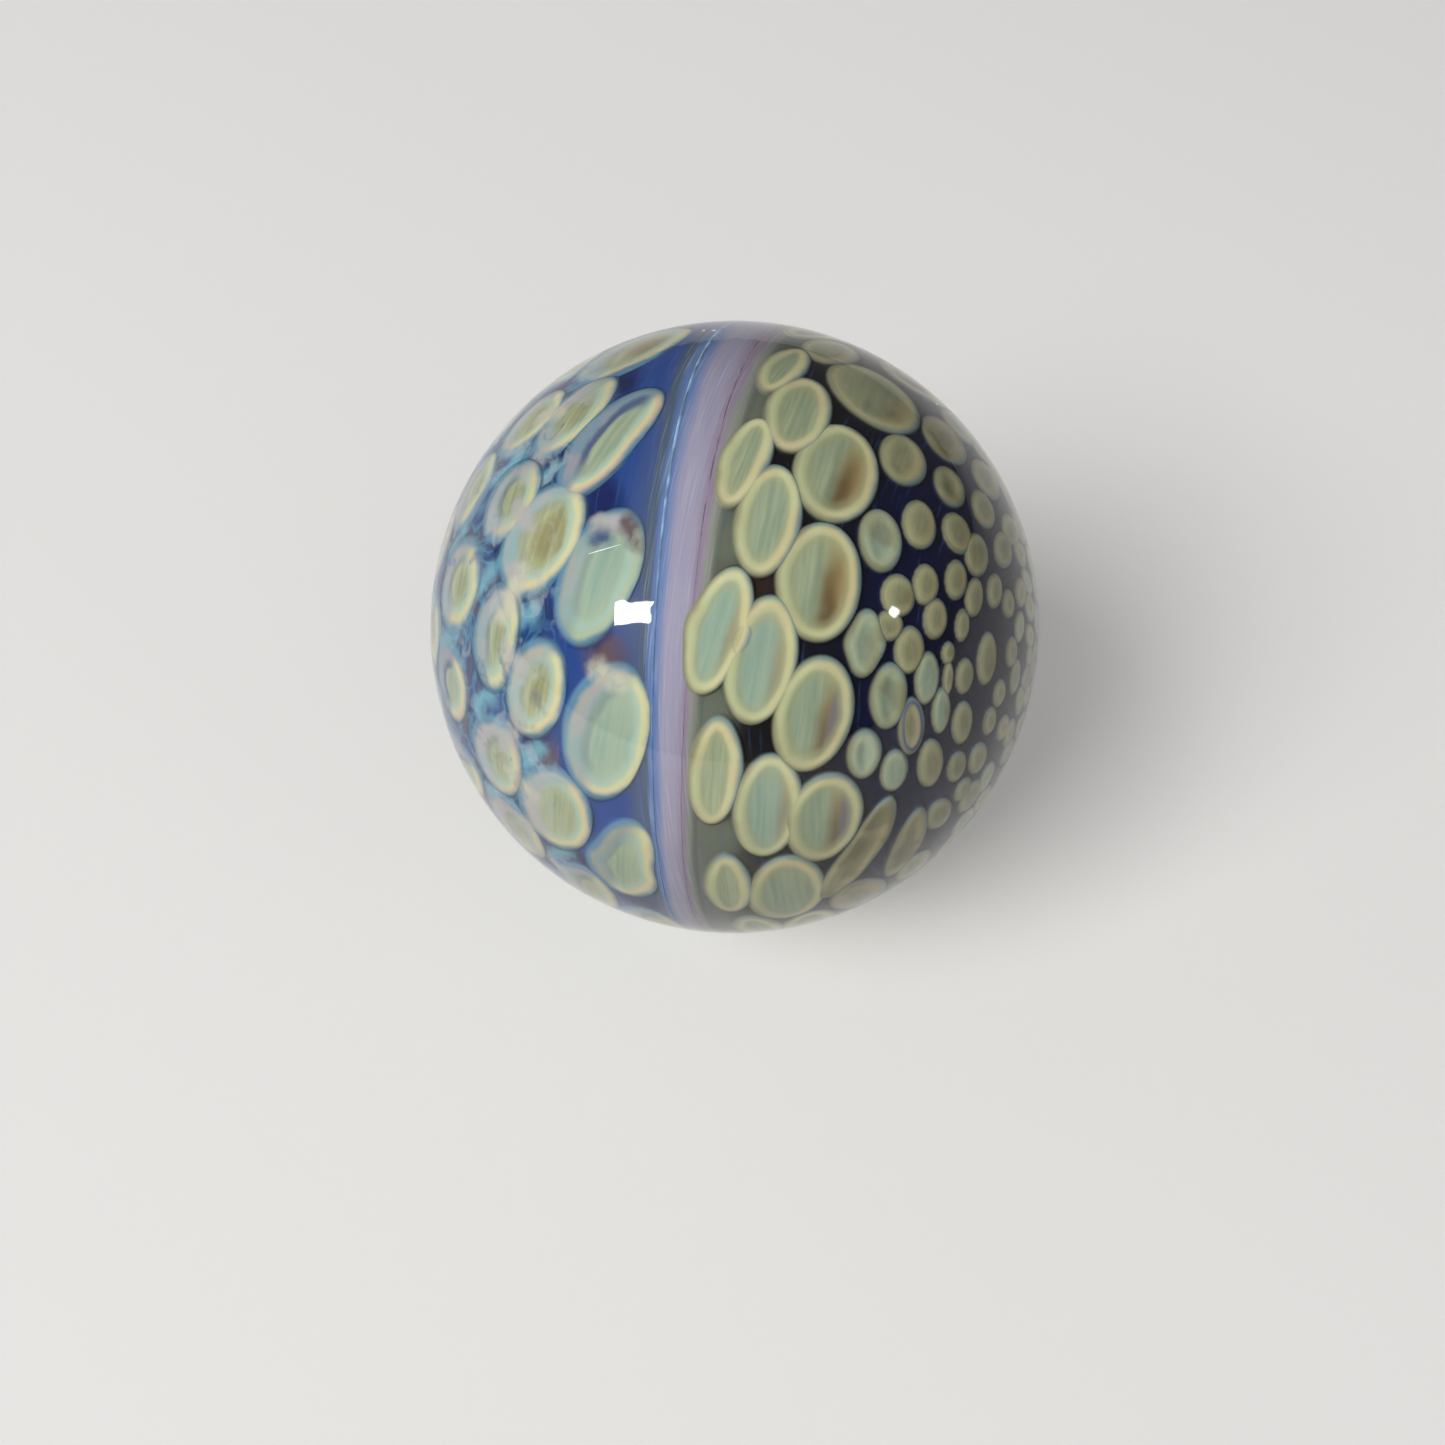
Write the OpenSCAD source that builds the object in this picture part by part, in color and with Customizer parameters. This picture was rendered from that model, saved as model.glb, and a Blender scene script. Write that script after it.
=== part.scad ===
// Glass marble: one solid ball of fused glass, shaped by hand in a cupped
// mould. It comes out a little shorter along one axis than across it, so its
// section is a half circle pushed away from the axis by a hair's width.
// The origin is at the middle of the ball, and the short axis lies along X.

/* [Ball] */
// Diameter across the widest circle, which stands in the YZ plane
ball_d = 38; // [16:0.5:60]
// How much shorter the ball is along X than across the widest circle
flattening = 0.3; // [0.1:0.05:1]

/* [Smoothness] */
// Sides that a full circle is drawn with
round_fn = 180; // [48:12:240]

/* [Hidden] */
// Length along the short axis, which is also the section's own diameter
short_d = ball_d - flattening;
// How far the section's half circle stands off the axis
section_shift = flattening / 2;
// Colour of the glass under the clear skin
glass_colour = "midnightblue";

// The outer half of a circle that stands off the axis by section_shift
module pushed_out_half_circle() {
    intersection() {
        translate([section_shift, 0])
            circle(d = short_d, $fn = round_fn);
        translate([section_shift, -short_d])
            square([short_d, 2 * short_d]);
    }
}

// The narrow strip that fills the section between the axis and the half circle
module middle_strip() {
    translate([0, -short_d / 2])
        square([section_shift, short_d]);
}

// The whole marble: its half section, turned once round the X axis
module marble() {
    color(glass_colour)
        rotate([0, 90, 0])
            rotate_extrude($fn = round_fn)
                union() {
                    pushed_out_half_circle();
                    middle_strip();
                }
}

marble();
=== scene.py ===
# %% [markdown]
# # A glass marble, in Blender
# The marble is a ball of fused glass about 38 mm across. A flame worker starts with a core of
# dark cobalt glass, wraps one lilac stripe round it, melts cream dots onto both lobes, and casts
# the whole thing in a skin of clear glass. The skin works as a lens, so everything under it
# looks larger and closer than it is.
#
# The ball itself comes from CAD and is never changed here. It is kept as the clear skin, and the
# coloured glass inside it is modelled as real pieces: a core, a stripe, fine threads and dots.

# %% Load the frame
import math
import random

import bpy
from mathutils import Matrix, Vector


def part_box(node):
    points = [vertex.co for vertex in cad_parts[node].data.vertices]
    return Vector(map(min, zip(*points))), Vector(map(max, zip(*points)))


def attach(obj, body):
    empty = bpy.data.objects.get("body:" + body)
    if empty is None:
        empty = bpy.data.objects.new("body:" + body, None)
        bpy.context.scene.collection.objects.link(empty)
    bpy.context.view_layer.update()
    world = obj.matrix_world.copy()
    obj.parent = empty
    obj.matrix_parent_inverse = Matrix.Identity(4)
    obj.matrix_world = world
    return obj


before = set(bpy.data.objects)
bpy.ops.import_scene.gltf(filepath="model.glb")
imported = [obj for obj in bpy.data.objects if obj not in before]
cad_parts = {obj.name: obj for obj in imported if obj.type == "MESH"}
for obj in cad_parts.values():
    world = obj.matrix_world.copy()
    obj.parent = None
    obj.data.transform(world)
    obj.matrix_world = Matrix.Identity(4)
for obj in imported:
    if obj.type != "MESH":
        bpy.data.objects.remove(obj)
bpy.context.view_layer.update()

# %% Measure the ball
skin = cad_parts["marble"]
ball_low, ball_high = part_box("marble")
RADIUS = (ball_high.y - ball_low.y) / 2
FLOOR_HEIGHT = ball_low.z
print("radius", round(RADIUS * 1000, 2), "mm, floor at", round(FLOOR_HEIGHT * 1000, 2), "mm")


# %% [markdown]
# ## The pattern's own globe
# Everything inside the ball is laid out like a map on a globe. The stripe is close to the
# globe's equator, and a lobe of dots surrounds each pole. A place on it is a latitude and a
# longitude in degrees: latitude grows towards the lobe of small dots, and longitude 0 is the
# meridian that faces a viewer who looks down at the marble. Giving every place this way keeps
# the numbers small and easy to picture.

# %% Directions on the globe
AXIS_LEAN = math.radians(8.5)
MERIDIAN_LIFT = math.radians(50)


def globe_turn():
    """The turn from a globe that stands upright to the one in the marble."""
    axis = Vector((math.cos(AXIS_LEAN), 0, math.sin(AXIS_LEAN)))
    above = Vector((-math.sin(AXIS_LEAN), 0, math.cos(AXIS_LEAN)))
    ahead = Vector((0, -1, 0))
    first = ahead * math.cos(MERIDIAN_LIFT) + above * math.sin(MERIDIAN_LIFT)
    second = axis.cross(first)
    return Matrix((first, second, axis)).transposed()


GLOBE = globe_turn()


def outward(latitude, longitude):
    """The direction from the middle of the ball to a place on the globe."""
    lat, lon = math.radians(latitude), math.radians(longitude)
    upright = Vector((math.cos(lat) * math.cos(lon), -math.cos(lat) * math.sin(lon), math.sin(lat)))
    return GLOBE @ upright


def poleward(latitude, longitude):
    """The direction along the surface, at a place, in which latitude grows."""
    return outward(latitude + 90, longitude)


def eastward(longitude):
    """The direction along the surface in which longitude grows."""
    return outward(0, longitude + 90)


print("pattern axis", [round(part, 3) for part in outward(90, 0)])

# %% [markdown]
# ## Small helpers
# An operator works on everything that is selected, so each new piece starts from an empty
# selection. A finished piece rides on the body of the marble and is given its glass.


# %% Start and finish a piece
def clear_selection():
    """Nothing is selected or active, so that the next operator meets only its own piece."""
    if bpy.context.object and bpy.context.object.mode != "OBJECT":
        bpy.ops.object.mode_set(mode="OBJECT")
    bpy.ops.object.select_all(action="DESELECT")
    bpy.context.view_layer.objects.active = None


def finish_piece(piece, name, material):
    """Names a piece, smooths it, gives it its glass and lets it ride with the marble."""
    piece.name = name
    piece.data.name = name
    piece.data.materials.clear()
    piece.data.materials.append(material)
    for face in piece.data.polygons:
        face.use_smooth = True
    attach(piece, "root")
    print(name, len(piece.data.polygons), "faces")
    return piece


# %% [markdown]
# ## A short language for materials
# Each glass is a graph of nodes. These helpers add one node at a time, to the tree that is on
# the bench, and return its output, so that a material reads like a recipe. Colours are written
# as on a painter's chart, from 0 to 255, and turned into the linear values that Blender mixes.


# %% Colours and nodes
def linear(red, green, blue):
    """A colour chart's value as Blender's linear colour."""
    shares = [part / 255 for part in (red, green, blue)]
    return (*[((s + 0.055) / 1.055) ** 2.4 if s > 0.04 else s / 12.92 for s in shares], 1)


class Bench:
    """Holds the tree that the helpers add their nodes to."""

    tree = None


def feed(socket, value):
    """Gives a socket a value, or links another node's output to it."""
    if isinstance(value, bpy.types.NodeSocket):
        Bench.tree.links.new(value, socket)
    else:
        socket.default_value = value


def node(kind, links=(), **settings):
    """Adds a node. links are (input, value or output) pairs."""
    added = Bench.tree.nodes.new(kind)
    for key, value in settings.items():
        setattr(added, key, value)
    for key, value in links:
        feed(added.inputs[key], value)
    return added


def calc(operation, first, second=0.0, third=0.0):
    """One step of arithmetic."""
    pairs = ((0, first), (1, second), (2, third))
    return node("ShaderNodeMath", pairs, operation=operation).outputs[0]


def times(first, *others):
    """The product of some values."""
    for other in others:
        first = calc("MULTIPLY", first, other)
    return first


def turn_into(kind, vector, other=(0, 0, 0), third=(0, 0, 0)):
    """One step of vector arithmetic that gives a vector."""
    pairs = ((0, vector), (1, other), (2, third))
    return node("ShaderNodeVectorMath", pairs, operation=kind).outputs["Vector"]


def measure(kind, first, second):
    """One step of vector arithmetic that gives a number."""
    pairs = ((0, first), (1, second))
    return node("ShaderNodeVectorMath", pairs, operation=kind).outputs["Value"]


def along(vector, direction):
    """How far a vector reaches along a direction."""
    return measure("DOT_PRODUCT", vector, direction)


def ease(value, start, end):
    """0 before start and 1 after end, with a soft change between. start may be the larger."""
    low, high = min(start, end), max(start, end)
    pairs = (("Value", value), ("From Min", low), ("From Max", high))
    kind = dict(interpolation_type="SMOOTHSTEP")
    eased = node("ShaderNodeMapRange", pairs, **kind).outputs["Result"]
    return eased if start < end else calc("SUBTRACT", 1.0, eased)


def mix(share, first, second):
    """The first colour, giving way to the second as share goes from 0 to 1.

    Each colour is an output or three numbers on the chart."""
    mixed = node("ShaderNodeMix", data_type="RGBA")
    for key, value in (("Factor_Float", share), ("A_Color", first), ("B_Color", second)):
        socket = next(s for s in mixed.inputs if s.identifier == key)
        feed(socket, linear(*value) if isinstance(value, tuple) else value)
    return next(s for s in mixed.outputs if s.identifier == "Result_Color")


def ramp(value, low, high, stops):
    """Colours along a scale from low to high. stops are (place, colour) pairs in order."""
    share = node("ShaderNodeMapRange", (("Value", value), ("From Min", low), ("From Max", high)))
    scale = node("ShaderNodeValToRGB", (("Fac", share.outputs["Result"]),))
    band = scale.color_ramp
    while len(band.elements) < len(stops):
        band.elements.new(1)
    for element, (place, colour) in zip(band.elements, stops):
        element.position = (place - low) / (high - low)
        element.color = linear(*colour)
    return scale.outputs["Color"]


def clouds(vector, scale, detail, distortion=0.0, output="Fac"):
    """Soft random patches between 0 and 1, around 0.5."""
    pairs = (("Vector", vector), ("Scale", scale), ("Detail", detail), ("Distortion", distortion))
    return node("ShaderNodeTexNoise", pairs).outputs[output]


def own_value(name):
    """What the mesh says of itself under that name."""
    return node("ShaderNodeAttribute", attribute_name=name).outputs["Vector"]


def object_place():
    """The shaded point in the object's own coordinates."""
    return node("ShaderNodeTexCoord").outputs["Object"]


def parts(vector):
    """The three parts of a vector."""
    split = node("ShaderNodeSeparateXYZ", (("Vector", vector),))
    return split.outputs[0], split.outputs[1], split.outputs[2]


def new_material(name):
    """A material with its main shader. Its tree is put on the bench."""
    material = bpy.data.materials.new(name)
    material.use_nodes = True
    Bench.tree = material.node_tree
    return material, Bench.tree.nodes["Principled BSDF"]


def glass_of(name, recipe):
    """A glass whose colour follows a recipe. It is dull, as one glass met inside another is."""
    material, shader = new_material(name)
    feed(shader.inputs["Base Color"], recipe())
    feed(shader.inputs["Roughness"], 0.55)
    feed(shader.inputs["Specular IOR Level"], 0.0)
    return material


# %% [markdown]
# ## Where a point lies on the globe
# A material finds its place from Object coordinates. Their direction from the middle of the
# ball gives latitude and longitude, as a compass would.


# %% Latitude and longitude in a material
def globe_place():
    """Direction, latitude and longitude of the shaded point."""
    direction = turn_into("NORMALIZE", object_place())
    latitude = calc("ARCSINE", along(direction, outward(90, 0)))
    east = along(direction, outward(0, 90))
    front = along(direction, outward(0, 0))
    longitude = calc("ARCTAN2", east, front)
    to_degrees = math.degrees(1)
    return direction, times(latitude, to_degrees), times(longitude, to_degrees)


def near_place(direction, latitude, longitude, reach):
    """1 at a place, falling softly to 0 at reach degrees away from it."""
    gap = measure("DISTANCE", direction, outward(latitude, longitude))
    return ease(gap, math.radians(reach), math.radians(reach) * 0.2)


def near_stroke(direction, start, end, reach):
    """1 along a short stroke between two places, falling softly to 0 at reach degrees beside it."""
    first, last = outward(*start), outward(*end)
    stroke = last - first
    from_first = turn_into("SUBTRACT", direction, first)
    gone = calc("DIVIDE", along(from_first, stroke), stroke.length_squared)
    gone.node.use_clamp = True
    pairs = ((0, stroke), ("Scale", gone))
    part = node("ShaderNodeVectorMath", pairs, operation="SCALE").outputs["Vector"]
    gap = measure("DISTANCE", from_first, part)
    return ease(gap, math.radians(reach) * 1.1, math.radians(reach) * 0.1)


def wandering(direction, scale, amount):
    """The direction, pushed about by a slow noise, so that what follows it runs as melted glass."""
    push = clouds(direction, scale, 3.0, output="Color")
    centred = turn_into("SUBTRACT", push, (0.5, 0.5, 0.5))
    return turn_into("MULTIPLY_ADD", centred, (amount, amount, amount), direction)


def lengthwise(latitude, longitude, fineness, stretch):
    """Coordinates for streaks that run round the globe, as drawn-out glass does."""
    pairs = (("X", times(latitude, fineness)), ("Y", times(longitude, fineness / stretch)))
    return node("ShaderNodeCombineXYZ", pairs).outputs["Vector"]


# %% [markdown]
# ## Where the dots lie
# The dots run round the axis in rows. Beside the stripe they are largest, and towards the ringed
# pole they grow small. A hand set them, so no formula gives the place of each: the dots of the
# front are listed row by row, as judged. The rest follows from these rows: the ground's
# colours lie in their gaps, and the far side carries them on.

# %% Rows of broad dots
# Latitude, longitude, half the width, half the height, lean, look. A few dots have corners: how
# many, how far they stand out, and the angle of the first.
BROAD_ROWS = [
    [
        (-7, -83, 6, 10, 0, "olive"),
        (-7, -55, 6.5, 11.5, 0.2, "horn", 3, 0.1, 60),
        (-7, -24, 8, 13, 0.2, "teal"),
        (-10, 5, 7.5, 12, 0.2, "pool"),
        (-14, 33, 7, 12, 0.4, "sea"),
        (-18, 63, 9, 11, 0.3, "ochre"),
    ],
    [
        (-18, -71, 6, 10, 0.1, "olive"),
        (-20, -45, 8, 11, 0.2, "grain"),
        (-22, -18, 6.5, 9.5, 0.2, "cream"),
        (-24, 12, 9, 11, 0.2, "ochre"),
        (-24, 42, 7, 10, 0.3, "milky"),
    ],
    [
        (-33, -60, 7, 10, 0, "rose"),
        (-34, -38, 7, 10, 0.1, "rose"),
        (-33, -9, 6, 11, 0.1, "olive"),
        (-34, 22, 7, 9, 0.1, "olive"),
        (-36, 46, 7, 9, 0.2, "cream"),
    ],
    [
        (-50, -26, 7, 11, 0, "sea"),
        (-48, 3, 8, 12, 0.1, "olive"),
        (-50, 33, 7, 11, 0.1, "olive"),
    ],
    [(-63, -14, 6, 13, 0, "olive")],
    [(-76, 0, 5.5, 22, 0, "olive")],
    [(-90, 0, 5, 5, 0, "olive")],
]

# %% Rows of ringed dots
RINGED_ROWS = [
    [
        (12, -60, 4, 10, 0.1, "cream"),
        (13, -30, 4.5, 11, 0.1, "cream"),
        (13, -3, 5.5, 11, 0.2, "teal", 4, 0.05, 80),
        (12.5, 30, 4, 10, 0.1, "cream"),
        (13, 57, 3.5, 9, 0.1, "cream"),
    ],
    [
        (22, -66, 7, 13, 0.1, "sage"),
        (22, -39, 6, 12, 0.1, "teal"),
        (21, -8, 6, 12, 0.1, "teal"),
        (19, 19, 5.5, 11, 0, "sage"),
        (19, 45, 5.5, 10.5, 0, "cream"),
        (18, 72, 4.5, 8, 0.1, "musty"),
    ],
    [
        (33, -82, 5, 10, 0, "smoky"),
        (37, -61, 5, 13, 0.7, "smoky", 2, 0.08, 30),
        (32, -45, 7, 12, 0.1, "split"),
        (31, -19, 7, 12, 0.1, "split"),
        (30, 9, 7.5, 12, 0, "brown"),
        (29, 34, 7.5, 12, 0, "brown"),
        (30, 62, 9, 11, -0.1, "musty", 2, 0.06, 20),
    ],
    [
        (46, -70, 4, 12, 0.5, "smoky"),
        (40.5, -30, 3, 6, 0, "pearl"),
        (50.5, -26, 2.5, 8, 0, "blue"),
        (45.5, -16, 3.5, 8, 0, "pearl"),
        (40, -3, 3.5, 7, 0, "pearl", 4, 0.06, 90),
        (40, 22, 4, 7, -0.1, "pearl"),
        (40, 47, 4.5, 7.5, 0, "dim"),
        (50.5, 51.5, 3.5, 6.5, 0, "dim"),
        (45, 68, 5, 9, 0, "smoky"),
    ],
]

# %% Fine dots, which keep to no row
# Latitude, longitude, half the width and half the height, as first judged. Seen beside the
# others they are a little larger, so one factor makes them all grow. They look dim unless
# another look is named.
FINE_GROWTH = 1.1
FINE_FRONT = [
    (59, 60, 3, 7), (55.5, 77, 3.5, 9), (47, 31.5, 3.2, 6),
    (55.5, 38, 3.2, 6), (61.5, 37.5, 2.8, 8), (67.5, 58, 2.5, 10),
    (66, 78, 2.5, 10), (45.5, 10, 3, 4.5), (44.5, 2, 2.3, 3),
    (51, 15.5, 2.4, 5), (58, 22, 2.3, 6), (54.5, 6.5, 2.3, 5.3),
    (61.5, 7, 1.5, 5), (63.5, 20, 2, 7), (69, 31, 2, 8),
    (74.5, 35, 2, 8), (77, 62, 2, 12), (49.3, -3.8, 2.7, 5.5),
    (53.8, -12, 2.3, 7, "pearl"), (58.5, -4, 1.2, 3), (59, -13, 1, 5),
    (63.5, -13, 2, 6), (57.5, -24, 1.8, 7, "pearl"), (63, -33, 2.3, 8),
    (70, -6, 2.6, 12), (46.5, -38, 2.4, 5.5, "pearl"), (54.5, -42, 2.5, 8),
    (60.5, -52, 2, 6), (66, -60, 2.2, 8), (60.5, -68, 1.8, 5),
    (54, -68, 2.5, 7), (79.5, 0, 2, 12), (75, -32, 1.8, 8),
    (71, -45, 1.8, 7), (74.5, -66, 1.8, 9), (90, 0, 1.5, 1.5),
]


def gaps(row):
    """The places half-way between neighbours in a row."""
    return [((a[0] + b[0]) / 2, (a[1] + b[1]) / 2) for a, b in zip(row, row[1:])]


# %% [markdown]
# ## The colour of the ground
# The ground is transparent cobalt over a black base. On the lobe of broad dots it is a bright
# cobalt. Past the stripe it turns olive where the stripe's pale glass has run into it, then
# nearly black, then navy towards the pole; this near black and dark navy are partly painted
# shade, as that lobe lies away from the main lamp. In each gap between two dots a pool of one
# glass has gathered, and the darkest pools are painted shade of the deep gaps. The same recipe
# colours the foot of every dot, so that a dot seems to grow out of the ground.

# %% Ground colours
# From pole to pole. The near black past the stripe and the dark navy beyond it are partly painted
# shade.
GROUND_AND_SHADE_STOPS = [
    (-90, (20, 48, 84)),
    (-50, (28, 56, 104)),
    (-25, (34, 60, 116)),
    (-8, (39, 65, 123)),
    (8, (100, 104, 94)),
    (13, (80, 82, 68)),
    (18, (44, 42, 34)),
    (25, (18, 16, 18)),
    (34, (12, 13, 30)),
    (43, (9, 14, 50)),
    (62, (12, 14, 48)),
    (90, (14, 16, 40)),
]
# The three darkest glasses here are painted shade, put where the ground lies deep between dots. The
# rest are glasses of their own.
GLASSES = {
    "cobalt": (40, 66, 126),
    "gap_shade_ink": (22, 32, 78),
    "slate": (52, 70, 108),
    "sky": (76, 114, 158),
    "teal": (106, 158, 172),
    "plum": (88, 72, 80),
    "milk": (160, 158, 154),
    "cream": (180, 176, 156),
    "haze": (94, 100, 86),
    "gap_shade_umber": (40, 28, 22),
    "gap_shade_soot": (17, 16, 18),
}
# The glass in each gap, row by row from the stripe. Its dark navy pools are painted shade.
BROAD_POOLS = [
    ["gap_shade_ink", "cobalt", "plum", "gap_shade_ink", "gap_shade_ink"],
    ["gap_shade_ink", "plum", "gap_shade_ink", "gap_shade_ink"],
    ["gap_shade_ink", "sky", "sky", "teal"],
    ["teal", "gap_shade_ink"],
]
# The near-black and dark brown pools here are painted shade of the deep gaps.
RINGED_POOLS = [
    ["haze", "haze", "haze", "haze"],
    ["gap_shade_soot", "gap_shade_soot", "gap_shade_umber", "gap_shade_soot", "gap_shade_soot"],
]
BROAD_POOL_REACH = 6
RINGED_POOL_REACH = 7


def pools_of(rows, glasses, reach):
    """A pool for each gap of each row: latitude, longitude, reach, colour."""
    pools = []
    for row, names in zip(rows, glasses):
        for (latitude, longitude), name in zip(gaps(row), names):
            pools.append((latitude, longitude, reach, GLASSES[name]))
    return pools


POOLS = pools_of(BROAD_ROWS, BROAD_POOLS, BROAD_POOL_REACH)
POOLS += pools_of(RINGED_ROWS, RINGED_POOLS, RINGED_POOL_REACH)
print(len(POOLS), "pools of colour in the gaps")

# %% Strokes between the broad dots
# Milk is drawn from a dot to its neighbours in the next row, over ground and dots alike. Where
# dots leave a gap, a dark speck of painted shade lies in the ground. Past the first row a teal
# streak crosses the gap as well. A stroke is its start, its end, its reach and its colour.
MILK_REACH = 3
MILK_SPAN = (0.35, 0.75)
STREAK_REACH = 2.5
SHADE_SPECK_REACH = 3
NEIGHBOUR = 26


def milk_strokes():
    """From dots of the second row to near ones of the third: start, end, reach, colour."""
    strokes = []
    for a in BROAD_ROWS[1]:
        for b in BROAD_ROWS[2]:
            if abs(a[1] - b[1]) < NEIGHBOUR:
                ends = [(a[0] + (b[0] - a[0]) * t, a[1] + (b[1] - a[1]) * t) for t in MILK_SPAN]
                tint = "cream" if len(strokes) % 3 == 2 else "milk"
                strokes.append((*ends, MILK_REACH, GLASSES[tint]))
    return strokes


def gap_strokes():
    """A speck of painted shade in each gap between broad dots, and past the first row a streak."""
    strokes = []
    for row in BROAD_ROWS[:4]:
        for latitude, longitude in gaps(row):
            # Painted shade: a dark speck in the gap.
            shade_speck = ((latitude - 2, longitude + 3), (latitude, longitude + 5))
            streak = ((latitude - 6, longitude - 4), (latitude - 1, longitude + 1))
            strokes.append((*shade_speck, SHADE_SPECK_REACH, GLASSES["gap_shade_ink"]))
            if row is not BROAD_ROWS[0]:
                strokes.append((*streak, STREAK_REACH, GLASSES["teal"]))
    return strokes


# Four marks that stand out: the hollow and the arc in the dot beside the stripe, and a smear.
MARKS = [
    ((-12, 15), (-7, 15), 2.5, GLASSES["milk"]),
    ((-6, 15), (-3, 11), 2.5, GLASSES["plum"]),
    ((-11, 12), (-10, 12), 3, GLASSES["slate"]),
    ((-9, -12), (-4, -14), 3, GLASSES["cream"]),
]
GROUND_STROKES = gap_strokes()
WISPS = milk_strokes() + MARKS
print(len(GROUND_STROKES), "strokes in the ground and", len(WISPS), "wisps over it")


# The murk between the broad dots, along a scale of random patches.
MURK_STOPS = [
    (0.38, (15, 23, 60)),
    (0.46, (34, 70, 122)),
    (0.52, (86, 138, 154)),
    (0.57, (44, 66, 108)),
    (0.64, (88, 76, 84)),
]


def ground_colour(direction, latitude, longitude):
    """The ground's colour at the shaded point, with painted shade where it lies deep."""
    colour = ramp(latitude, -90, 90, GROUND_AND_SHADE_STOPS)
    adrift = wandering(direction, 7.0, 0.10)
    for lat, lon, reach, patch in POOLS:
        share = near_place(adrift, lat, lon, reach)
        colour = mix(share, colour, patch)
    murk = ramp(clouds(direction, 6.0, 3.0, distortion=1.2), 0.3, 0.7, MURK_STOPS)
    murky = times(ease(latitude, -16, -28), 0.7)
    colour = mix(murky, colour, murk)
    nearly = wandering(direction, 14.0, 0.06)
    for start, end, reach, tint in GROUND_STROKES:
        share = times(near_stroke(nearly, start, end, reach), 0.8)
        colour = mix(share, colour, tint)
    streaks = clouds(lengthwise(latitude, longitude, 1.1, 14), 1.0, 3.0)
    pale = times(ease(streaks, 0.55, 0.75), 0.30)
    return mix(pale, colour, (56, 92, 138))


def veil_over(direction, latitude, colour):
    """Milky wisps of thinned glass that drift over ground and dots alike."""
    adrift = wandering(direction, 7.0, 0.34)
    drift = clouds(adrift, 8.0, 5.0)
    wisp = times(ease(drift, 0.54, 0.64), ease(latitude, -14, -24), 0.45)
    colour = mix(wisp, colour, (156, 164, 166))
    deep = times(ease(drift, 0.42, 0.30), ease(latitude, -16, -26), 0.6)
    colour = mix(deep, colour, (52, 78, 122))
    patchy = calc("MULTIPLY_ADD", ease(drift, 0.36, 0.56), 0.50, 0.45)
    nearly = wandering(direction, 14.0, 0.06)
    for start, end, reach, tint in WISPS:
        share = times(near_stroke(nearly, start, end, reach), patchy)
        colour = mix(share, colour, tint)
    return colour


# %% [markdown]
# ## The colours of the stripe
# The stripe bows and widens as it runs round, so its colours run along its own latitude, counted
# from its own line and in shares of its own width. Like the ground's recipe, this one is shared,
# because a dot that laps onto the stripe has the stripe's colours at its foot.

# %% Stripe colours by latitude
# From the cobalt side to the ringed side: width in degrees, colour.
STRIPE_BANDS = [
    (1, (44, 68, 116)),
    (2, (70, 84, 100)),
    (2, (86, 111, 155)),
    (5.5, (144, 140, 158)),
    (1, (134, 120, 136)),
    (2, (132, 135, 126)),
    (1, (98, 101, 86)),
]
STRIPE_FROM = -4.5
STRIPE_TO = STRIPE_FROM + sum(width for width, colour in STRIPE_BANDS)
STRIPE_STOPS = []
reached = STRIPE_FROM
for width, colour in STRIPE_BANDS:
    for share in (0.25, 0.75):
        STRIPE_STOPS.append((reached + width * share, colour))
    reached += width
BOW = 2.4
BOW_PEAK = -15
WIDENING = 0.35


def bow(longitude):
    """How far the stripe bows towards the ringed dots, in degrees of latitude."""
    return BOW * math.cos(math.radians(2 * (longitude - BOW_PEAK)))


def widening(longitude):
    """How much wider than its mean the stripe is at a longitude, as a share."""
    return WIDENING * math.sin(math.radians(longitude))


# %% Stripe colour at a point
def stripe_over_ground(direction, latitude, longitude):
    """The stripe's colour where it runs, and the ground's elsewhere."""
    ground = ground_colour(direction, latitude, longitude)
    swing = calc("MULTIPLY_ADD", longitude, math.radians(2), math.radians(-2 * BOW_PEAK))
    across = calc("MULTIPLY_ADD", calc("COSINE", swing), -BOW, latitude)
    round_it = times(longitude, math.radians(1))
    wide = calc("MULTIPLY_ADD", calc("SINE", round_it), WIDENING, 1.0)
    across = calc("DIVIDE", across, wide)
    ripple = clouds(lengthwise(latitude, longitude, 0.30, 6), 1.0, 2.0)
    across = calc("ADD", across, calc("MULTIPLY_ADD", ripple, 2.2, -1.1))
    colour = ramp(across, STRIPE_FROM, STRIPE_TO, STRIPE_STOPS)
    fine = clouds(lengthwise(latitude, longitude, 2.6, 40), 1.0, 3.0)
    light = times(ease(fine, 0.50, 0.80), 0.35)
    colour = mix(light, colour, (186, 184, 208))
    dark = times(ease(fine, 0.46, 0.22), 0.30)
    colour = mix(dark, colour, (96, 98, 140))
    start = ease(across, STRIPE_FROM, STRIPE_FROM + 2)
    end = ease(across, STRIPE_TO, STRIPE_TO - 3)
    return mix(times(start, end), ground, colour)

# %% [markdown]
# ## Cobalt core
# The core is the ball of dark glass that carries everything else. Its surface lies well under
# the skin and is a little proud where the stripe runs. It could be a plain sphere, but a section
# spun round the axis gives the low belt under the stripe without any sculpting.

# %% Core sizes
CORE_BELT = [
    (-90, 0.893),
    (-30, 0.893),
    (-12, 0.896),
    (-4, 0.902),
    (10, 0.902),
    (20, 0.898),
    (40, 0.894),
    (90, 0.892),
]


def between(table, place):
    """A smooth value between the entries of a (place, value) table."""
    for (before, first), (after, second) in zip(table, table[1:]):
        if place <= after:
            share = (place - before) / (after - before)
            share = share * share * (3 - 2 * share)
            return first + (second - first) * share
    return table[-1][1]


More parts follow.
